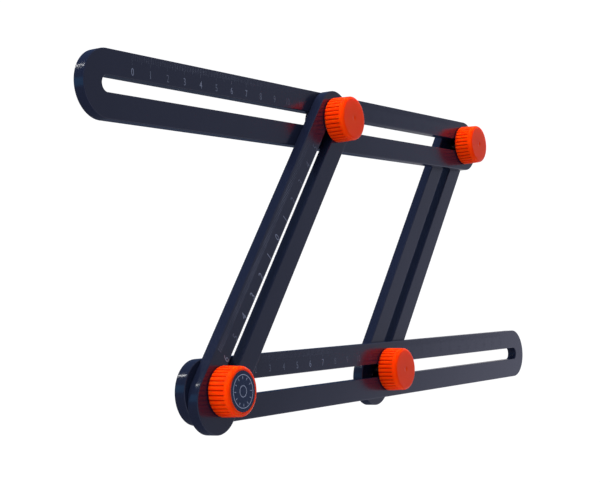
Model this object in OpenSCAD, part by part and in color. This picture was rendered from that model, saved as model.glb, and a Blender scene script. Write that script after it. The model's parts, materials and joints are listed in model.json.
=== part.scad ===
// Angle copier: four slotted flat rules clamped into a parallelogram by four bolts with fluted
// hand knobs. The tool lies flat: Z points out of its front, X runs along the top and bottom rules,
// and the origin is under the middle of its outline, on the plane that the lowest bolt heads rest on.

/* [Rules] */
// Width of every rule
rule_w = 25; // [20:0.5:30]
// Thickness of every rule
rule_t = 4.8; // [3:0.2:7]
// Length of the top and bottom rules over their round ends
long_rule = 305; // [290:1:400]
// Length of the left and right rules over their round ends
side_rule = 173; // [140:1:240]
// Width of the slot along the middle of every rule
slot_w = 6; // [5.8:0.1:8]
// Bevel on the long edges, the round ends and the slot edges
rule_bevel = 0.35; // [0.1:0.05:0.6]

/* [Layout] */
// Angle between the side rules and the bottom rule
frame_angle = 50.8; // [35:0.1:125]
// Distance between the two clamps on the bottom rule
base_span = 134.6; // [80:0.1:200]
// Distance from the lower left clamp to the middle of the round end of the bottom rule's slot
long_inset = 4.3; // [1:0.1:20]
// Distance from the upper right clamp to the middle of the round end of the top rule's slot
top_inset = 2.5; // [0.5:0.1:20]
// Distance from the lower clamps of the side rules to the middle of the slot's round end
side_inset = 4.7; // [1:0.1:20]
// Distance from the upper clamps of the side rules to the middle of the slot's round end
far_inset = 0.6; // [0.5:0.1:20]

/* [Bolts] */
// Thread diameter
bolt_d = 5; // [4:0.5:5.5]
// Diameter of the low round head behind the rules
head_d = 13; // [11:0.5:16]
// Thickness of the head
head_t = 2.2; // [1.6:0.1:4]
// Bevel round the outside of the head
head_bevel = 0.6; // [0.1:0.1:1.2]
// Length of thread that stands above the washer
thread_reach = 5.2; // [3:0.1:5.6]
// Bevel on the tip of the thread
tip_bevel = 0.5; // [0.1:0.1:0.8]
// How far the square neck stops short of the rear rule's front face
neck_short = 0.4; // [0.2:0.1:1.5]

/* [Knobs] */
// Outside diameter over the ribs, at the foot
knob_d = 19.4; // [18:0.2:24]
// Height of the knob's face above the front rule
knob_h = 9.6; // [9.2:0.1:14]
// How much smaller the diameter is at the top of the collar
knob_taper = 0.5; // [0:0.1:1.2]
// Bevel round the knob's foot
foot_bevel = 0.7; // [0.1:0.1:1]
// Radius of the round rim between the collar and the face
rim_r = 1.3; // [0.4:0.1:1.6]
// Number of round ribs
rib_count = 32; // [24:1:36]
// Diameter of a rib
rib_d = 2.2; // [2.1:0.1:3]
// How far the ribs' round tips are turned down to the knob's outside
rib_trim = 0.1; // [0.05:0.05:0.2]
// Depth of the plain round body below the ribs' tips
rib_depth = 0.7; // [0.5:0.05:0.8]
// Height of the smooth collar above the ribs, with the rim
collar_h = 2; // [1.7:0.1:4]
// Diameter of the moulding dimple in the middle of a plain knob's face
dimple_d = 3; // [1:0.5:5]
// Depth of the dimple
dimple_depth = 0.3; // [0.1:0.1:0.6]

/* [Inserts, washers and cap] */
// Outside diameter of the brass insert moulded into a knob
insert_d = 9; // [8:0.1:10]
// Length of the insert
insert_h = 6.2; // [5.6:0.1:6.4]
// Width of the two grooves that key the insert into the knob
insert_groove = 0.9; // [0.4:0.1:1.2]
// Outside diameter of a washer
washer_d = 13; // [11.5:0.1:14]
// Thickness of a washer
washer_t = 1.2; // [0.8:0.1:1.4]
// Diameter of the inlaid cap in the lower left knob
cap_d = 15.4; // [9:0.1:15.8]
// Thickness of that cap
cap_t = 1; // [0.5:0.1:1.2]

/* [Clearances] */
// Gap between a square neck and each side of the slot
neck_gap = 0.1; // [0.05:0.05:0.2]
// Gap between the thread and the bore of the insert, all round
thread_gap = 0.05; // [0.02:0.01:0.1]
// Gap between the thread and the hole in the washer, all round
hole_gap = 0.2; // [0.1:0.05:0.5]
// Gap between a washer and the recess in the knob, all round
recess_gap = 0.3; // [0.1:0.05:0.6]
// Gap between the knob's foot and the front rule
foot_gap = 0.3; // [0.1:0.05:0.5]
// Gap between the cap and its recess, all round
cap_gap = 0.05; // [0.02:0.01:0.1]
// Air above the insert in the knob's blind bore
blind_gap = 0.2; // [0.1:0.05:0.3]

/* [Hidden] */
$fn = 96;
// Cutters run this far past the faces that they cut
over = 1;
// Steps in the round rim of a knob
rim_steps = 6;

half_w = rule_w / 2;
slot_r = slot_w / 2;
long_run = long_rule - rule_w;
side_run = side_rule - rule_w;
side_span = side_run - side_inset - far_inset;

side_dir = [cos(frame_angle), sin(frame_angle)];
lower_left = [0, 0];
lower_right = [base_span, 0];
upper_left = side_span * side_dir;
upper_right = upper_left + lower_right;

// Heights of the back faces of the three layers of rules
back_z = head_t;
middle_z = back_z + rule_t;
front_z = middle_z + rule_t;

bottom_start = [lower_left[0] - long_inset, lower_left[1]];
top_start = [upper_right[0] + top_inset - long_run, upper_right[1]];

// Middles of the rules' round ends
rule_ends = concat(
    [for (start = [bottom_start, top_start]) each [start, start + [long_run, 0]]],
    [for (clamp = [lower_left, lower_right], along = [-side_inset, side_run - side_inset])
        clamp + along * side_dir]
);
low_corner = [for (i = [0, 1]) min([for (end = rule_ends) end[i]]) - half_w];
high_corner = [for (i = [0, 1]) max([for (end = rule_ends) end[i]]) + half_w];
outline_middle = (low_corner + high_corner) / 2;

grip = 2 * rule_t;
neck_half = slot_r - neck_gap;
// The square neck's corners are turned down so far that they pass the nearest round end of a slot
// with half of the neck's gap
neck_end_room = min(far_inset, side_inset, long_inset);
neck_corner_x = neck_end_room + sqrt(pow(slot_r - neck_gap / 2, 2) - pow(neck_half, 2));
neck_corner_r = norm([neck_corner_x, neck_half]);
insert_base = washer_t;
insert_top = insert_base + insert_h;
rib_top = knob_h - collar_h;

rule_colour = [0.16, 0.18, 0.24];
knob_colour = [0.95, 0.24, 0.04];
steel_colour = [0.55, 0.56, 0.58];
brass_colour = [0.78, 0.62, 0.30];
cap_colour = [0.09, 0.11, 0.18];

// Each clamp's place, the height of the back of its two rules, and the angle of the slot that its neck fits
CLAMPS = [
    [lower_left, middle_z, 0],
    [upper_left, middle_z, 0],
    [upper_right, back_z, frame_angle],
    [lower_right, back_z, frame_angle]
];
CORNERS = ["lower_left", "upper_left", "upper_right", "lower_right"];

module from_outline_middle() {
    translate([-outline_middle[0], -outline_middle[1], 0]) children();
}

module at_clamp(i) {
    from_outline_middle()
        translate([CLAMPS[i][0][0], CLAMPS[i][0][1], CLAMPS[i][1]])
            rotate(CLAMPS[i][2])
                children();
}

// Bar along X with round ends: side is the outline of its half, as distances from the middle line
// and heights, from the bottom up
module round_ended_bar(run, side) {
    mirrored = [for (i = [len(side) - 1:-1:0]) [-side[i][0], side[i][1]]];
    low = side[0][1];
    high = side[len(side) - 1][1];
    for (x = [0, run])
        translate([x, 0, 0])
            rotate_extrude()
                polygon(concat([[0, low]], side, [[0, high]]));
    rotate([90, 0, 90])
        linear_extrude(run)
            polygon(concat(side, mirrored));
}

// The slot's cutter opens out at 45 degrees past both faces, which bevels the slot's edges
module rule(run) {
    wide = slot_r + rule_bevel + over;
    color(rule_colour)
        difference() {
            round_ended_bar(run, [
                [half_w - rule_bevel, 0], [half_w, rule_bevel],
                [half_w, rule_t - rule_bevel], [half_w - rule_bevel, rule_t]
            ]);
            round_ended_bar(run, [
                [wide, -over], [slot_r, rule_bevel],
                [slot_r, rule_t - rule_bevel], [wide, rule_t + over]
            ]);
        }
}

module top_rule() {
    from_outline_middle() translate([top_start[0], top_start[1], middle_z]) rule(long_run);
}

module bottom_rule() {
    from_outline_middle() translate([bottom_start[0], bottom_start[1], middle_z]) rule(long_run);
}

module side_rule_at(corner, z) {
    from_outline_middle()
        translate([corner[0], corner[1], z])
            rotate(frame_angle)
                translate([-side_inset, 0, 0])
                    rule(side_run);
}

module left_rule() {
    side_rule_at(lower_left, front_z);
}

module right_rule() {
    side_rule_at(lower_right, back_z);
}

// Low round head, square neck in the rear rule's slot, and a round thread up through the rest
module bolt() {
    head_r = head_d / 2;
    thread_r = bolt_d / 2;
    tip = grip + washer_t + thread_reach;
    color(steel_colour)
        union() {
            rotate_extrude()
                polygon([
                    [0, -head_t], [head_r - head_bevel, -head_t], [head_r, -head_t + head_bevel],
                    [head_r, 0], [thread_r, 0], [thread_r, tip - tip_bevel],
                    [thread_r - tip_bevel, tip], [0, tip]
                ]);
            intersection() {
                translate([-neck_half, -neck_half, 0])
                    cube([2 * neck_half, 2 * neck_half, rule_t - neck_short]);
                cylinder(r = neck_corner_r, h = rule_t - neck_short);
            }
        }
}

module washer() {
    color(steel_colour)
        translate([0, 0, grip])
            difference() {
                cylinder(d = washer_d, h = washer_t);
                translate([0, 0, -over]) cylinder(d = bolt_d + 2 * hole_gap, h = washer_t + 2 * over);
            }
}

module insert() {
    outer = insert_d / 2;
    inner = bolt_d / 2 + thread_gap;
    neck = (outer + inner) / 2;
    third = insert_h / 3;
    color(brass_colour)
        translate([0, 0, grip + insert_base])
            rotate_extrude()
                polygon([
                    [inner, 0], [outer, 0],
                    [outer, third - insert_groove / 2], [neck, third - insert_groove / 2],
                    [neck, third + insert_groove / 2], [outer, third + insert_groove / 2],
                    [outer, 2 * third - insert_groove / 2], [neck, 2 * third - insert_groove / 2],
                    [neck, 2 * third + insert_groove / 2], [outer, 2 * third + insert_groove / 2],
                    [outer, insert_h], [inner, insert_h]
                ]);
}

// Ribbed knob with a washer recess and a blind bore for the insert. Its face has a recess for the
// cap, or else a dimple
module knob(capped) {
    color(knob_colour)
        translate([0, 0, grip])
            difference() {
                intersection() {
                    knob_outside();
                    union() {
                        cylinder(d = knob_d - 2 * rib_depth, h = knob_h + over);
                        translate([0, 0, rib_top]) cylinder(d = knob_d + over, h = collar_h + over);
                        ribs();
                    }
                }
                translate([0, 0, -over]) cylinder(d = washer_d + 2 * recess_gap, h = washer_t + over);
                cylinder(d = insert_d, h = insert_top + blind_gap);
                if (capped)
                    translate([0, 0, knob_h - cap_t]) cylinder(d = cap_d + 2 * cap_gap, h = cap_t + over);
                else
                    translate([0, 0, knob_h - dimple_depth]) cylinder(d = dimple_d, h = dimple_depth + over);
            }
}

// Solid of the knob's outline: bevelled foot, tapered side and round rim
module knob_outside() {
    foot_r = knob_d / 2;
    collar_r = foot_r - knob_taper / 2;
    rim = [for (i = [0:rim_steps])
        let (a = 90 * i / rim_steps) [collar_r - rim_r + rim_r * cos(a), knob_h - rim_r + rim_r * sin(a)]];
    rotate_extrude()
        polygon(concat(
            [[0, foot_gap], [foot_r - foot_bevel, foot_gap], [foot_r, foot_gap + foot_bevel]],
            rim,
            [[0, knob_h]]
        ));
}

module ribs() {
    for (i = [0:rib_count - 1])
        rotate(360 * i / rib_count)
            translate([(knob_d - rib_d) / 2 + rib_trim, 0, 0])
                cylinder(d = rib_d, h = rib_top + over / 2, $fn = 32);
}

module cap() {
    color(cap_colour)
        translate([0, 0, grip + knob_h - cap_t])
            cylinder(d = cap_d, h = cap_t);
}

top_rule();
bottom_rule();
left_rule();
right_rule();
for (i = [0:len(CORNERS) - 1]) {
    at_clamp(i) bolt();
    at_clamp(i) washer();
    at_clamp(i) insert();
    at_clamp(i) knob(i == 0);
}
at_clamp(0) cap();  // lower_left_cap
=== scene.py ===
import json

import bmesh
import bpy
import numpy as np
from mathutils import Matrix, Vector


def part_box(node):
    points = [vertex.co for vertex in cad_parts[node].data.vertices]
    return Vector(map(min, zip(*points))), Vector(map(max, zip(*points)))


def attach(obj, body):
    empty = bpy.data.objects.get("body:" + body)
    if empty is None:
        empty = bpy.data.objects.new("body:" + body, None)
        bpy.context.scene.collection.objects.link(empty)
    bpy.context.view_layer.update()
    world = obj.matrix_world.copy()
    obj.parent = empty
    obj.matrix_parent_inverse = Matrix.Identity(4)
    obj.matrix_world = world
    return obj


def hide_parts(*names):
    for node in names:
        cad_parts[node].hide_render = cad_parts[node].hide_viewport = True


mm = 0.001

print("loading the frame")
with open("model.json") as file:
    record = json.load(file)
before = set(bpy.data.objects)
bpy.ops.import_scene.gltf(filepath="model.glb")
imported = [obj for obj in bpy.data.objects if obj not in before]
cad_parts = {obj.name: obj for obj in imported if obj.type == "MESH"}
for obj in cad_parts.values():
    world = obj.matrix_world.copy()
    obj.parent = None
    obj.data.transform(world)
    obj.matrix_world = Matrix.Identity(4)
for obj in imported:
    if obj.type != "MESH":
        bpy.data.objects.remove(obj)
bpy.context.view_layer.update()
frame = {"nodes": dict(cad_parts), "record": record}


# What the pieces share

def addObject(name, data):
    # puts a mesh, lamp or camera into the scene
    thing = bpy.data.objects.new(name, data)
    bpy.context.scene.collection.objects.link(thing)
    return thing


def meshObject(name, points, faces, smooth=True):
    # a mesh from arrays of points and four-sided faces
    mesh = bpy.data.meshes.new(name)
    mesh.from_pydata(points.tolist(), [], faces.tolist())
    mesh.polygons.foreach_set("use_smooth", np.full(len(mesh.polygons), smooth))
    mesh.validate()
    mesh.update()
    return addObject(name, mesh)


def meshPoints(mesh):
    # the mesh's points as rows of x, y, z
    points = np.empty(len(mesh.vertices) * 3)
    mesh.vertices.foreach_get("co", points)
    return points.reshape(-1, 3)


def boxOf(node):
    # a node's lowest corner, highest corner and the middle between them
    low, high = (np.array(corner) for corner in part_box(node))
    return low, high, (low + high) / 2


def bodyOf(node):
    # the body that carries a node
    bodies = frame["record"]["behaviour"]["bodies"]
    return next(name for name, nodes in bodies.items() if node in nodes)


def gridFaces(rows, columns, closeRows, closeColumns):
    # quads between neighbours of a rows x columns grid; a closed direction joins its last line
    # to its first
    i = np.arange(rows if closeRows else rows - 1)[:, None]
    j = np.arange(columns if closeColumns else columns - 1)[None, :]
    a = i * columns + j
    b = i * columns + (j + 1) % columns
    c = (i + 1) % rows * columns + (j + 1) % columns
    d = (i + 1) % rows * columns + j
    return np.stack(np.broadcast_arrays(a, b, c, d), -1).reshape(-1, 4)


def arc(centre, radius, start, end, steps):
    # points round a centre from one angle in degrees to another
    angle = np.radians(np.linspace(start, end, steps))
    return np.stack([centre[0] + radius * np.cos(angle), centre[1] + radius * np.sin(angle)], 1)


def boxes(low, high):
    # corner points and faces of many boxes at once; low and high are n x 3
    pick = np.array([[0, 0, 0], [1, 0, 0], [1, 1, 0], [0, 1, 0],
                     [0, 0, 1], [1, 0, 1], [1, 1, 1], [0, 1, 1]])
    points = low[:, None, :] + pick[None] * (high - low)[:, None, :]
    sides = np.array([[0, 3, 2, 1], [4, 5, 6, 7], [0, 1, 5, 4],
                      [1, 2, 6, 5], [2, 3, 7, 6], [3, 0, 4, 7]])
    faces = (np.arange(len(low)) * len(pick))[:, None, None] + sides[None]
    return points.reshape(-1, 3), faces.reshape(-1, 4)


# Slotted rules

ruleShape = {
    "width": 25 * mm,
    "slotWidth": 6 * mm,
    "edgeRound": 0.35 * mm,
    "edgeSteps": 6,
    "support": 0.06 * mm,   # flat strip beside each rounded edge that keeps the faces even
    "endSteps": 64,
    "straightSteps": 24,
}


def ruleLayout(node):
    # a rule's middle line, from its box: the middle of one round end, the direction to the other
    # and the run between them
    low, high, _ = boxOf(node)
    half = ruleShape["width"] / 2
    start = low[:2] + half
    end = high[:2] - half
    run = np.hypot(*(end - start))
    return {"start": start, "along": (end - start) / run, "run": run,
            "back": low[2], "front": high[2]}


def stadium(layout):
    # middle-line points and outward directions once round: along one side, round an end, back
    # along the other side, round the other end
    along = layout["along"]
    across = np.array([-along[1], along[0]])
    ride = np.linspace(0, 1, ruleShape["straightSteps"], endpoint=False)
    turn = np.linspace(0, np.pi, ruleShape["endSteps"], endpoint=False)
    far = np.concatenate([ride, np.ones_like(turn), 1 - ride, np.zeros_like(turn)])
    heading = np.concatenate([np.zeros_like(ride), turn,
                              np.full_like(ride, np.pi), np.pi + turn]) - np.pi / 2
    middle = layout["start"] + far[:, None] * layout["run"] * along
    outward = np.cos(heading)[:, None] * along + np.sin(heading)[:, None] * across
    return middle, outward


def ruleSection(layout):
    # closed rectangle from the slot wall to the outer edge: a quarter circle at each corner with
    # a short flat before and after it
    shape = ruleShape
    inner, outer = shape["slotWidth"] / 2, shape["width"] / 2
    low, high, r = layout["back"], layout["front"], shape["edgeRound"]
    corners = [((outer - r, high - r), 0), ((inner + r, high - r), 90),
               ((inner + r, low + r), 180), ((outer - r, low + r), 270)]
    pieces = []
    for centre, start in corners:
        bend = arc(centre, r, start, start + 90, shape["edgeSteps"])
        away = np.radians([start - 90, start + 180])
        flats = np.stack([np.cos(away), np.sin(away)], 1) * shape["support"]
        pieces += [bend[:1] + flats[:1], bend, bend[-1:] + flats[1:]]
    return np.concatenate(pieces)


def makeRule(node):
    # point = middle line + section's radius * outward direction, at the section's height
    layout = ruleLayout(node)
    middle, outward = stadium(layout)
    section = ruleSection(layout)
    flat = middle[:, None, :] + section[None, :, :1] * outward[:, None, :]
    height = np.broadcast_to(section[None, :, 1:], flat.shape[:2] + (1,))
    points = np.concatenate([flat, height], 2)
    faces = gridFaces(len(middle), len(section), True, True)[:, ::-1]
    rule = meshObject("dressed_" + node, points.reshape(-1, 3), faces)
    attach(rule, bodyOf(node))
    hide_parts(node)
    return rule, layout


# Printed scales

scalePrint = {
    "pitch": 1 * mm,
    "ink": 0.02 * mm,
    "digitWidth": 0.8,      # numbers are this much narrower than the plain font
    "digitRoundness": 3,
}
longMarks = {"zero": 25.8 * mm, "line": 0.05 * mm, "first": 0, "last": 250, "gap": 0.6 * mm,
             "digitHeight": 2.8 * mm, "reach": (2.2 * mm, 2.9 * mm, 3.6 * mm)}
# zero is measured from the rule's lower or left end, digits from its middle line to their middle;
# reach is the length of each millimetre's, fifth and tenth line, gap their way from the edge
scales = {
    "top_rule": {**longMarks, "digits": 5.7 * mm},
    "bottom_rule": {**longMarks, "digits": 6.4 * mm},
    "left_rule": {"zero": 88.6 * mm, "line": 0.14 * mm, "first": -60, "last": 60, "gap": 1 * mm,
                  "digitHeight": 3.4 * mm, "reach": (2.5 * mm, 2.5 * mm, 2.5 * mm),
                  "digits": 5.2 * mm},
}


def digitMesh(word, height, depth):
    # a number as points and faces, scaled to its height and depth about its own middle
    curve = bpy.data.curves.new("number", "FONT")
    curve.body = word
    curve.size = 1
    curve.extrude = 0.5
    curve.resolution_u = scalePrint["digitRoundness"]
    text = addObject("number", curve)
    bpy.context.view_layer.update()
    graph = bpy.context.evaluated_depsgraph_get()
    mesh = bpy.data.meshes.new_from_object(text.evaluated_get(graph))
    points = meshPoints(mesh)
    faces = [list(face.vertices) for face in mesh.polygons]
    bpy.data.objects.remove(text)
    bpy.data.curves.remove(curve)
    bpy.data.meshes.remove(mesh)
    low, high = points.min(0), points.max(0)
    points -= (low + high) / 2
    size = height / (high[1] - low[1])
    points *= [size * scalePrint["digitWidth"], size, depth / (high[2] - low[2])]
    return points, faces


def makeScale(node, layout):
    # a thin box for each millimetre's line and a number for each centimetre, at zero + step *
    # pitch along the rule and half sunk in its front face
    look, marks = scalePrint, scales[node]
    half = ruleShape["width"] / 2
    step = np.arange(marks["first"], marks["last"] + 1)
    rank = (step % 5 == 0).astype(int) + (step % 10 == 0)
    reach = np.array(marks["reach"])[rank]
    x = marks["zero"] - half + step * look["pitch"]
    top = np.full(len(x), half - marks["gap"])
    sunk, proud = np.full(len(x), -look["ink"]), np.full(len(x), look["ink"])
    low = np.stack([x - marks["line"] / 2, top - reach, sunk], 1)
    high = np.stack([x + marks["line"] / 2, top, proud], 1)
    points, faces = boxes(low, high)
    allPoints, allFaces, count = [points], faces.tolist(), len(points)
    for tenth in step[step % 10 == 0]:
        digits, sides = digitMesh(str(abs(tenth) // 10), marks["digitHeight"], 2 * look["ink"])
        digits += [marks["zero"] - half + tenth * look["pitch"], marks["digits"], 0]
        allPoints.append(digits)
        allFaces += [[v + count for v in side] for side in sides]
        count += len(digits)
    flat = np.concatenate(allPoints)
    along = np.array([*layout["along"], 0])
    across = np.array([-along[1], along[0], 0])
    placed = flat[:, :1] * along + flat[:, 1:2] * across + [*layout["start"], layout["front"]]
    placed[:, 2] += flat[:, 2]
    mesh = bpy.data.meshes.new("print")
    mesh.from_pydata(placed.tolist(), [], allFaces)
    mesh.update()
    scale = addObject(node + "_scale", mesh)
    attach(scale, bodyOf(node))
    return scale


# Turned pieces

def turned(node, profile, radiusRule, steps):
    # each profile point goes once round the node's axis; radiusRule gives its radius at every angle
    low, _, centre = boxOf(node)
    angle = np.linspace(0, 2 * np.pi, steps, endpoint=False)
    radius = radiusRule(profile[:, 0][:, None], profile[:, 1][:, None], angle[None, :])
    x = centre[0] + radius * np.cos(angle)
    y = centre[1] + radius * np.sin(angle)
    z = np.broadcast_to(low[2] + profile[:, 1][:, None], x.shape)
    faces = gridFaces(len(profile), steps, False, True)
    thing = meshObject("dressed_" + node, np.stack([x, y, z], -1).reshape(-1, 3), faces)
    closePoles(thing)
    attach(thing, bodyOf(node))
    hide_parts(node)
    return thing


def closePoles(thing):
    # merges the rings of no size at both ends of a turned piece
    work = bmesh.new()
    work.from_mesh(thing.data)
    bmesh.ops.remove_doubles(work, verts=work.verts, dist=1e-7)
    bmesh.ops.recalc_face_normals(work, faces=work.faces)
    work.to_mesh(thing.data)
    work.free()
    thing.data.update()


def plainRadius(radius, height, angle):
    # the profile's own radius at every angle
    return radius + 0 * angle


knobShape = {
    "footRadius": 9.7 * mm,
    "footRound": 0.7 * mm,
    "footGap": 0.3 * mm,
    "footSteps": 9,
    "height": 9.6 * mm,
    "taper": 0.25 * mm,
    "sideSteps": 34,
    "rimRadius": 1.3 * mm,
    "rimSteps": 10,
    "ribs": 32,
    "ribRadius": 0.9 * mm,
    "ribTrim": 0.1 * mm,
    "ribTop": 7.6 * mm,
    "ribRunOut": 0.5 * mm,
    "stepsPerRib": 14,
    # the next two set the painted shade in the ribs' grooves: the depth at which it is full and the
    # lowest height it reaches
    "grooveShadeDepth": 0.6 * mm,
    "grooveShadeFrom": 0.05 * mm,    # lowest height that gets the painted groove shade
    "recessRadius": 6.8 * mm,
    "recessDepth": 1.2 * mm,
    "recessWall": 0.5 * mm,     # plain wall round the recess that the ribs leave alone
    "boreRadius": 4.5 * mm,
    "boreTop": 7.6 * mm,
    "pocketRadius": 7.75 * mm,
    "pocketDepth": 1 * mm,
    "dimpleRadius": 1.5 * mm,
    "dimpleDepth": 0.3 * mm,
    "dimpleSteps": 9,
    # short strips beside an edge that keep the faces even: a sharp one, the rim and the dimple
    "edgeStrip": 0.05 * mm,
    "rimStrip": 0.06 * mm,
    "dimpleStrip": 0.1 * mm,
}


def knobProfile(capped):
    # from the top of the blind bore, out under the foot, up the side, round the rim and in over
    # the face, which has either the cap's pocket or a dimple whose depth goes as cosine squared
    shape = knobShape
    foot, gap, r = shape["footRadius"], shape["footGap"], shape["footRound"]
    rim, top, strip = shape["rimRadius"], shape["height"], shape["edgeStrip"]
    bore, recess = shape["boreRadius"], shape["recessRadius"]
    collar = foot - shape["taper"]
    side = np.linspace([foot, gap + r], [collar, top - rim], shape["sideSteps"])
    parts = [
        [[0, shape["boreTop"]], [bore, shape["boreTop"]], [bore, shape["recessDepth"]]],
        [[recess, shape["recessDepth"]], [recess, gap + strip], [recess + strip, gap]],
        arc((foot - r, gap + r), r, -90, 0, shape["footSteps"]),
        side[1:-1],
        arc((collar - rim, top - rim), rim, 0, 90, shape["rimSteps"]),
        [[collar - rim - shape["rimStrip"], top]],
    ]
    if capped:
        edge, floor = shape["pocketRadius"], top - shape["pocketDepth"]
        parts.append([[edge + strip, top], [edge, top - strip], [edge, floor], [0, floor]])
    else:
        slope = np.linspace(1, 0, shape["dimpleSteps"])
        dimple = np.stack([shape["dimpleRadius"] * slope,
                           top - shape["dimpleDepth"] * np.cos(slope * np.pi / 2) ** 2], 1)
        parts += [[[shape["dimpleRadius"] + shape["dimpleStrip"], top]], dimple]
    return np.concatenate([np.array(part) for part in parts])


def ribbedRadius(radius, height, angle):
    # the lesser of the outline and round ribs set in a ring; the grooves run out below the collar
    shape = knobShape
    spacing = 2 * np.pi / shape["ribs"]
    offset = (angle + spacing / 2) % spacing - spacing / 2
    ring = shape["footRadius"] - shape["ribRadius"] + shape["ribTrim"]
    rib = ring * np.cos(offset) + np.sqrt(shape["ribRadius"] ** 2 - (ring * np.sin(offset)) ** 2)
    fade = np.clip((height - shape["ribTop"] + shape["ribRunOut"]) / shape["ribRunOut"], 0, 1)
    groove = (1 - fade ** 2 * (3 - 2 * fade)) * np.maximum(shape["footRadius"] - rib, 0)
    limit = shape["footRadius"] - groove - shape["taper"] * np.clip(height / shape["height"], 0, 1)
    outside = radius > shape["recessRadius"] + shape["recessWall"]
    return np.where(outside, np.minimum(radius, limit), radius)


def makeKnob(corner):
    # the profile turned round the bolt's axis, its side cut back to the ribs
    node = corner + "_knob"
    gap = knobShape["footGap"]
    profile = knobProfile(capped=corner == "lower_left")
    profile[:, 1] -= gap
    knob = turned(node, profile,
                  lambda radius, height, angle: ribbedRadius(radius, height + gap, angle),
                  knobShape["ribs"] * knobShape["stepsPerRib"])
    paintGrooveShade(knob, node)
    return knob


def paintGrooveShade(knob, node):
    # painted shade: a point's groove value is its depth under the tapered outline, as a share of
    # the groove shade depth, and darkens the knob's colour in the ribs' grooves
    shape = knobShape
    low, _, centre = boxOf(node)
    points = meshPoints(knob.data)
    height = points[:, 2] - low[2]
    outline = shape["footRadius"] - shape["taper"] * np.clip(height / shape["height"], 0, 1)
    radius = np.hypot(points[:, 0] - centre[0], points[:, 1] - centre[1])
    depth = (outline - radius) / shape["grooveShadeDepth"]
    ribbed = (height > shape["grooveShadeFrom"]) & (height < shape["ribTop"])
    groove = knob.data.attributes.new("groove", "FLOAT", "POINT")
    groove.data.foreach_set("value", np.where(ribbed, np.clip(depth, 0, 1), 0))


boltShape = {
    "headRadius": 6.5 * mm,
    "headHeight": 2.19 * mm,
    "headRound": 0.7 * mm,
    "headSteps": 8,
    "headStrip": 0.06 * mm,     # flat strip inside the head's rounded edge
    "headBevel": 0.1 * mm,
    "neckHalf": 2.9 * mm,
    "neckCorner": 3.113 * mm,
    "neckLength": 4.4 * mm,
    "threadRadius": 2.5 * mm,
    "threadPitch": 0.8 * mm,
    "threadDepth": 0.42 * mm,
    "threadFrom": 0.2 * mm,     # way from the neck to the first turn
    "threadSteps": 90,
    "tipBevel": 0.5 * mm,
    "length": 18.2 * mm,
    "roundSteps": 96,
}


def boltRadius(radius, height, angle):
    # the neck is a square with its corners turned down; the thread is a helix cut into the shank,
    # whose depth falls and rises evenly with each turn
    shape = boltShape
    square = shape["neckHalf"] / np.maximum(np.abs(np.cos(angle)), np.abs(np.sin(angle)))
    neck = np.minimum(square, shape["neckCorner"])
    turn = (height / shape["threadPitch"] - angle / (2 * np.pi)) % 1
    thread = shape["threadRadius"] - shape["threadDepth"] * (1 - np.abs(2 * turn - 1))
    onNeck = np.isclose(radius, shape["neckHalf"])
    neckTop = shape["headHeight"] + shape["neckLength"]
    onThread = (radius > 0) & (height > neckTop + shape["threadFrom"] / 2)
    return np.where(onNeck, neck,
                    np.where(onThread, np.minimum(radius, thread), radius + 0 * angle))


def makeBolt(corner):
    # head, neck and shank turned round one axis, with the neck's sides along the rear rule's slot
    shape = boltShape
    node = corner + "_bolt"
    head, r, tall = shape["headRadius"], shape["headRound"], shape["headHeight"]
    half, shank, bevel = shape["neckHalf"], shape["threadRadius"], shape["headBevel"]
    tip, neckTop = shape["length"], tall + shape["neckLength"]
    thread = np.linspace(neckTop + shape["threadFrom"], tip - shape["tipBevel"],
                         shape["threadSteps"])
    profile = np.concatenate([
        [[0, 0], [head - r - shape["headStrip"], 0]],
        arc((head - r, r), r, -90, 0, shape["headSteps"]),
        [[head, tall - bevel], [head - bevel, tall], [half, tall]],
        [[half, neckTop], [shank, neckTop]],
        np.stack([np.full(len(thread), shank), thread], 1),
        [[shank - shape["tipBevel"], tip], [0, tip]],
    ])
    rear = "right_rule" if corner.endswith("right") else "bottom_rule"
    along = ruleLayout(rear)["along"]
    tilt = np.arctan2(along[1], along[0])
    bolt = turned(node, profile,
                  lambda radius, height, angle: boltRadius(radius, height, angle - tilt),
                  shape["roundSteps"])
    return bolt


# Printed cap

capShape = {
    "radius": 7.7 * mm,
    "height": 0.98 * mm,
    "edgeRound": 0.15 * mm,
    "edgeSteps": 6,
    "edgeStrip": 0.05 * mm,
    "roundSteps": 128,
}
capPrint = {
    "ink": 0.02 * mm,
    "rings": ((6.2 * mm, 0.22 * mm), (2.1 * mm, 0.2 * mm)),   # middle radius and line width
    "ticks": 12,
    "tickFrom": 4.6 * mm,
    "tickTo": 5.6 * mm,
    "tickWidth": 0.2 * mm,
}


def makeCap():
    # a flat disc with a rounded edge
    node = "lower_left_cap"
    radius, r, tall = capShape["radius"], capShape["edgeRound"], capShape["height"]
    profile = np.concatenate([
        [[0, 0], [radius, 0]],
        arc((radius - r, tall - r), r, 0, 90, capShape["edgeSteps"]),
        [[radius - r - capShape["edgeStrip"], tall], [0, tall]],
    ])
    cap = turned(node, profile, plainRadius, capShape["roundSteps"])
    return cap


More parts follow.
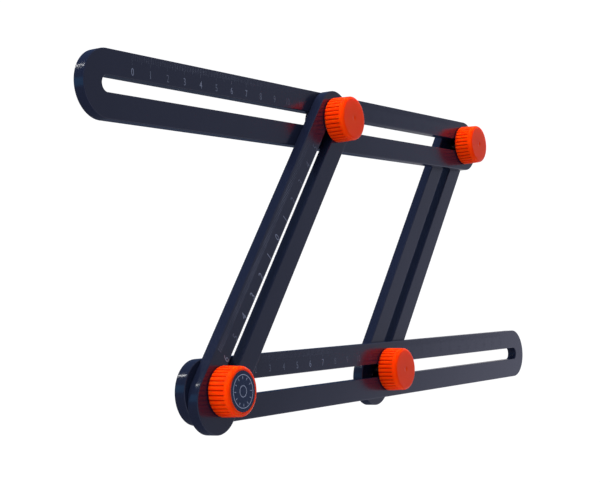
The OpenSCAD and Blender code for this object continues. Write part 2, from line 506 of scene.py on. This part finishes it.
def makeCapPrint():
    # rings are annuli of four-sided section; ticks are short boxes turned round the middle
    node = "lower_left_cap"
    _, high, middle = boxOf(node)
    centre = np.array([middle[0], middle[1], high[2]])
    look = capPrint
    points, faces, count = [], [], 0
    angle = np.linspace(0, 2 * np.pi, capShape["roundSteps"], endpoint=False)
    for ring, width in look["rings"]:
        inner, outer = ring - width / 2, ring + width / 2
        section = np.array([[inner, -look["ink"]], [outer, -look["ink"]], [outer, 0], [inner, 0]])
        x = section[:, 0][:, None] * np.cos(angle)
        y = section[:, 0][:, None] * np.sin(angle)
        z = np.broadcast_to(section[:, 1][:, None], x.shape)
        points.append(np.stack([x, y, z], -1).reshape(-1, 3))
        faces.append(gridFaces(len(section), len(angle), True, True) + count)
        count += len(points[-1])
    spokes = np.arange(look["ticks"]) * 2 * np.pi / look["ticks"]
    half = look["tickWidth"] / 2
    lowCorner = np.tile([look["tickFrom"], -half, -look["ink"]], (len(spokes), 1))
    highCorner = np.tile([look["tickTo"], half, 0], (len(spokes), 1))
    flat, sides = boxes(lowCorner, highCorner)
    spin = np.repeat(spokes, len(flat) // len(spokes))
    points.append(np.stack([flat[:, 0] * np.cos(spin) - flat[:, 1] * np.sin(spin),
                            flat[:, 0] * np.sin(spin) + flat[:, 1] * np.cos(spin),
                            flat[:, 2]], 1))
    faces.append(sides + count)
    ink = meshObject("cap_print", np.concatenate(points) + centre, np.concatenate(faces),
                     smooth=False)
    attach(ink, bodyOf(node))
    return ink


# Materials

class Wire:
    # a shader socket that can stand in sums: + and * on it add Math nodes
    def __init__(self, tree, socket=None):
        self.tree = tree
        self.socket = socket

    def add(self, kind, settings=None, inputs=None, output=0):
        # a node with its settings first, then the values or links of its sockets; sockets and the
        # output go by name, or by number where names repeat
        node = self.tree.nodes.new(kind)
        for name, value in (settings or {}).items():
            setattr(node, name, value)
        for key, value in (inputs or {}).items():
            if isinstance(value, Wire):
                self.tree.links.new(value.socket, node.inputs[key])
            else:
                node.inputs[key].default_value = value
        return Wire(self.tree, node.outputs[output])

    def math(self, operation, first, second):
        return self.add("ShaderNodeMath", {"operation": operation}, {0: first, 1: second})

    def __add__(self, other):
        return self.math("ADD", self, other)

    def __radd__(self, other):
        return self.math("ADD", other, self)

    def __mul__(self, other):
        return self.math("MULTIPLY", self, other)

    def __rmul__(self, other):
        return self.math("MULTIPLY", other, self)


def newMaterial(name):
    # an empty material and the wire that adds nodes to it
    material = bpy.data.materials.new(name)
    material.use_nodes = True
    return material, Wire(material.node_tree)


def finish(material, links, values):
    # links go to sockets that may vary, values are set on the shader's own sockets
    shader = material.node_tree.nodes["Principled BSDF"]
    for name, value in values.items():
        shader.inputs[name].default_value = value
    for name, source in links.items():
        source.tree.links.new(source.socket, shader.inputs[name])
    return material


def objectPlace(wire):
    # the point's place in the object's own metres
    return wire.add("ShaderNodeTexCoord", output="Object")


def noise(wire, place, size, detail=3):
    # noise whose spots are about this size in metres
    return wire.add("ShaderNodeTexNoise", {}, {"Vector": place, "Scale": 1 / size,
                                               "Detail": detail, "Roughness": 0.5})


def mixColour(wire, factor, first, second):
    # the first colour where the factor is 0, the second where it is 1; the node has its colours
    # on sockets 6 and 7 and their mix on output 2
    return wire.add("ShaderNodeMix", {"data_type": "RGBA"},
                    {0: factor, 6: first, 7: second}, output=2)


def bump(wire, height, strength, distance):
    # a normal tilted by the slope of the height
    return wire.add("ShaderNodeBump", {}, {"Height": height, "Strength": strength,
                                           "Distance": distance})


def ramp(wire, value, start, end, low=0, high=1):
    # low at start, high at end and straight between them, with both held beyond
    return wire.add("ShaderNodeMapRange", {}, {"Value": value, "From Min": start, "From Max": end,
                                               "To Min": low, "To Max": high})


def coordinate(wire, vector, axis):
    # the X, Y or Z of a vector
    return wire.add("ShaderNodeSeparateXYZ", {}, {"Vector": vector}, output=axis)


ruleLook = {
    "colours": ((0.0065, 0.0092, 0.0225, 1), (0.0083, 0.011, 0.027, 1)),
    "cloud": 18 * mm,
    "grain": 0.25 * mm,
    "roughness": (0.15, 0.05, 0.04),    # plain, more with the cloud, more with the grain
    "bump": (0.05, 0.02 * mm),          # strength and distance, here and below
}


def ruleFinish():
    # dark blue plate: colour and roughness go with slow clouds, bump with a fine grain
    look = ruleLook
    material, wire = newMaterial("rule_finish")
    place = objectPlace(wire)
    cloud = noise(wire, place, look["cloud"], 2)
    grain = noise(wire, place, look["grain"], 2)
    plain, clouded, grained = look["roughness"]
    return finish(material, {
        "Base Color": mixColour(wire, cloud, *look["colours"]),
        "Roughness": plain + clouded * cloud + grained * grain,
        "Normal": bump(wire, grain, *look["bump"]),
    }, {"Metallic": 0, "IOR": 1.5, "Specular IOR Level": 0.5})


printLook = {
    "ink": ((0.09, 0.105, 0.14, 1), (0.26, 0.29, 0.36, 1)),
    "bare": ((0.0065, 0.0092, 0.0225, 1), (0.009, 0.012, 0.028, 1)),
    "patch": 1.2 * mm,
    "rubbed": 14 * mm,
    "rubbedFrom": (0.35, 0.6),          # noise at which the ink is most worn and whole
    "leastKept": 0.4,
    "fade": (-60 * mm, -5 * mm),        # where the print starts and ends its fading along X
    "fadeLean": 0.4,                    # how much sooner it fades with each step up Y
    "roughness": (0.17, 0.08),
}


def printFinish():
    # thin pale ink, kept as the product of a slow noise and a fade toward +X and +Y
    look = printLook
    material, wire = newMaterial("print_finish")
    place = objectPlace(wire)
    patch = noise(wire, place, look["patch"])
    rubbed = noise(wire, place, look["rubbed"], 1)
    kept = ramp(wire, rubbed, *look["rubbedFrom"], look["leastKept"], 1)
    slant = coordinate(wire, place, "X") + look["fadeLean"] * coordinate(wire, place, "Y")
    whole = ramp(wire, slant, *look["fade"], 1, 0)
    ink = mixColour(wire, patch, *look["ink"])
    bare = mixColour(wire, patch, *look["bare"])
    plain, patched = look["roughness"]
    return finish(material, {
        "Base Color": mixColour(wire, whole * kept, bare, ink),
        "Roughness": plain + patched * patch,
    }, {"Metallic": 0})


knobLook = {
    "colours": ((0.92, 0.044, 0.0006, 1), (0.97, 0.05, 0.0008, 1)),
    # painted shade: the dark red laid into the grooves by the groove value
    "groove": (0.38, 0.004, 0.0003, 1),
    "mottle": 3 * mm,
    "skin": 0.2 * mm,
    "roughness": (0.3, 0.08),
    "bump": (0.08, 0.02 * mm),
    "shader": {"Metallic": 0, "IOR": 1.5, "Specular IOR Level": 0.16,
               "Specular Tint": (1, 0.4, 0.08, 1), "Subsurface Weight": 0.7,
               "Subsurface Radius": (1, 0.12, 0.03), "Subsurface Scale": 3 * mm},
}


def knobFinish():
    # moulded orange plastic: slight mottling, a fine satin skin and painted shade that darkens the
    # grooves
    look = knobLook
    material, wire = newMaterial("knob_finish")
    place = objectPlace(wire)
    mottle = noise(wire, place, look["mottle"])
    skin = noise(wire, place, look["skin"], 2)
    # the groove value that lays the painted shade into the grooves
    groove = wire.add("ShaderNodeAttribute", {"attribute_name": "groove"}, output="Fac")
    colour = mixColour(wire, mottle, *look["colours"])
    plain, mottled = look["roughness"]
    return finish(material, {
        "Base Color": mixColour(wire, groove, colour, look["groove"]),
        "Roughness": plain + mottled * mottle,
        "Normal": bump(wire, skin, *look["bump"]),
    }, look["shader"])


steelLook = {
    "colours": ((0.06, 0.055, 0.055, 1), (0.11, 0.1, 0.1, 1)),
    "cloud": 2.5 * mm,
    "mark": 0.3 * mm,
    "stretch": (1, 1, 8),               # turning marks are this much finer along the axis
    "roughness": (0.25, 0.15),
    "bump": (0.1, 0.03 * mm),
}


def steelFinish():
    # blackened steel: cloudy coating with fine turning marks
    look = steelLook
    material, wire = newMaterial("steel_finish")
    place = objectPlace(wire)
    cloud = noise(wire, place, look["cloud"])
    turning = wire.add("ShaderNodeMapping", {}, {"Vector": place, "Scale": look["stretch"]})
    mark = noise(wire, turning, look["mark"], 2)
    plain, marked = look["roughness"]
    return finish(material, {
        "Base Color": mixColour(wire, cloud, *look["colours"]),
        "Roughness": plain + marked * mark,
        "Normal": bump(wire, mark, *look["bump"]),
    }, {"Metallic": 1})


patchyLooks = {
    "cap_finish": {
        "colours": ((0.003, 0.007, 0.026, 1), (0.006, 0.011, 0.038, 1)),
        "patch": 2 * mm,
        "roughness": (0.2, 0.15),
        "shader": {"Metallic": 0, "Specular Tint": (0.45, 0.7, 1, 1)},
    },
    "cap_print_finish": {
        "colours": ((0.3, 0.34, 0.42, 1), (0.5, 0.55, 0.65, 1)),
        "patch": 0.8 * mm,
        "roughness": (0.3, 0.2),
        "shader": {"Metallic": 0},
    },
    "brass_finish": {
        "colours": ((0.62, 0.43, 0.15, 1), (0.75, 0.56, 0.24, 1)),
        "patch": 1.5 * mm,
        "roughness": (0.25, 0.15),
        "shader": {"Metallic": 1},
    },
}


def patchyFinish(name):
    # colour and roughness both go with one noise
    look = patchyLooks[name]
    material, wire = newMaterial(name)
    patch = noise(wire, objectPlace(wire), look["patch"])
    plain, patched = look["roughness"]
    return finish(material, {
        "Base Color": mixColour(wire, patch, *look["colours"]),
        "Roughness": plain + patched * patch,
    }, look["shader"])


def coat(thing, material):
    # gives the whole object one finish
    thing.data.materials.clear()
    thing.data.materials.append(material)


# The object

corners = ("lower_left", "upper_left", "upper_right", "lower_right")
finishes = {"rule": ruleFinish(), "print": printFinish(), "knob": knobFinish(),
            "steel": steelFinish(), "cap": patchyFinish("cap_finish"),
            "capPrint": patchyFinish("cap_print_finish"), "brass": patchyFinish("brass_finish")}

print("rules and scales")
for node in ("top_rule", "bottom_rule", "left_rule", "right_rule"):
    rule, layout = makeRule(node)
    coat(rule, finishes["rule"])
    if node in scales:
        coat(makeScale(node, layout), finishes["print"])

print("knobs, bolts, washers and inserts")
for corner in corners:
    coat(makeKnob(corner), finishes["knob"])
    coat(makeBolt(corner), finishes["steel"])
    coat(frame["nodes"][corner + "_washer"], finishes["steel"])
    coat(frame["nodes"][corner + "_insert"], finishes["brass"])

print("cap")
coat(makeCap(), finishes["cap"])
coat(makeCapPrint(), finishes["capPrint"])


# Floor, light and camera

floorLook = {
    "size": 4,
    "gap": 0.05 * mm,       # under the lowest bolt heads
    "glow": 1.0,
    "colour": (0.08, 0.08, 0.08, 1),
    "roughness": 0.9,
}
# place, size, power in watts, colour and whether it shows in reflections
warmWhite = (1, 0.98, 0.95)
lamps = {
    "top_lamp": ((0.05, 0.8, 0.02), (1.6, 0.4), 17, warmWhite, False),
    "side_lamp": ((-0.75, 0.25, 0.2), (0.6, 0.6), 2.3, warmWhite, False),
    "back_lamp": ((-0.455, 0.652, -0.617), (0.05, 0.05), 0.32, (1, 1, 1), True),
    "left_lamp": ((-0.74, 0.14, -0.65), (0.3, 0.3), 0.25, (0.1, 0.5, 1), True),
}
skyLook = {
    "plain": (0.285, 0.305, 0.4, 1),
    "glow": (0.7, 0.71, 0.9, 1),
    "under": (0.04, 0.07, 0.14, 1),
    "underGlow": (0.08, 0.09, 0.12, 1),
    "far": (0.9, 0.85, 0.85, 1),
    # each change from one colour to the other goes between two values of a direction
    "horizon": (-0.05, 0.1),            # of Z, from under to plain
    "glowLean": 0.6,
    "glowFade": (0.5, 0.38),            # of Z + glowLean * Y, from plain to glow
    "underFade": (-0.04, -0.2),         # of Y, from under to underGlow
    "farFade": (0.86, 0.93),            # of X, to far
}
# the camera's place and directions, from the lower left clamp's axis and the back of the long rules
lens = {
    "place": (-403.1 * mm, 29.9 * mm, 308.4 * mm),
    "right": (0.5453, -0.0435, 0.8371),
    "up": (-0.0183, 0.9978, 0.0638),
    "focal": 79.98,
    "sensor": 36,
    "clip": (0.01, 20),
}


def makeFloor():
    # a glowing square just under the object
    look = floorLook
    half, deep = look["size"] / 2, -look["gap"]
    points = np.array([[-half, -half, deep], [half, -half, deep],
                       [half, half, deep], [-half, half, deep]])
    floor = meshObject("floor", points, np.array([[0, 1, 2, 3]]), smooth=False)
    material, _ = newMaterial("floor_finish")
    finish(material, {}, {"Base Color": look["colour"], "Roughness": look["roughness"],
                          "Emission Color": (1, 1, 1, 1), "Emission Strength": look["glow"]})
    coat(floor, material)
    floor.visible_glossy = False     # the object's edges reflect the darker room, not the floor
    floor.visible_shadow = False     # back_lamp and left_lamp shine through from under it


def lookAlong(place, right, up):
    # a matrix whose camera looks along -Z, from unit right and up directions
    right, up = np.array(right), np.array(up)
    back = np.cross(right, up)
    matrix = np.eye(4)
    matrix[:3, :3] = np.stack([right, up, back / np.linalg.norm(back)], 1)
    matrix[:3, 3] = place
    return Matrix(matrix.tolist())


def makeLamps():
    # each lamp is a rectangle that faces the middle of the frame
    for name, (place, size, power, colour, mirrored) in lamps.items():
        lamp = bpy.data.lights.new(name, "AREA")
        lamp.shape = "RECTANGLE"
        lamp.size, lamp.size_y = size
        lamp.energy = power
        lamp.color = colour
        thing = addObject(name, lamp)
        back = np.array(place) / np.linalg.norm(place)
        side = np.cross([0, 0, 1], back)
        side /= np.linalg.norm(side)
        thing.matrix_world = lookAlong(place, side, np.cross(back, side))
        thing.visible_glossy = mirrored


def makeSky():
    # even above the horizon and brighter low down away from +Y; under it dark blue, greyer toward
    # -Y and white far out along +X
    look = skyLook
    world = bpy.data.worlds.new("sky")
    world.use_nodes = True
    wire = Wire(world.node_tree)
    toward = wire.add("ShaderNodeTexCoord", output="Generated")
    x, y, z = (coordinate(wire, toward, axis) for axis in "XYZ")
    glow = ramp(wire, z + look["glowLean"] * y, *look["glowFade"])
    sky = mixColour(wire, glow, look["plain"], look["glow"])
    under = mixColour(wire, ramp(wire, y, *look["underFade"]), look["under"], look["underGlow"])
    under = mixColour(wire, ramp(wire, x, *look["farFade"]), under, look["far"])
    colour = mixColour(wire, ramp(wire, z, *look["horizon"]), under, sky)
    background = world.node_tree.nodes["Background"]
    wire.tree.links.new(colour.socket, background.inputs["Color"])
    bpy.context.scene.world = world


def makeCamera():
    # lens["place"] is added to the clamp's axis at the long rules' back
    _, _, axis = boxOf("lower_left_cap")
    back, _, _ = boxOf("bottom_rule")
    origin = np.array([axis[0], axis[1], back[2]])
    camera = bpy.data.cameras.new("camera")
    camera.lens = lens["focal"]
    camera.sensor_width = lens["sensor"]
    camera.clip_start, camera.clip_end = lens["clip"]
    thing = addObject("camera", camera)
    thing.matrix_world = lookAlong(origin + lens["place"], lens["right"], lens["up"])
    bpy.context.scene.camera = thing


print("floor, light and camera")
makeFloor()
makeLamps()
makeSky()
makeCamera()
bpy.context.scene.view_settings.view_transform = "Standard"

print("done")
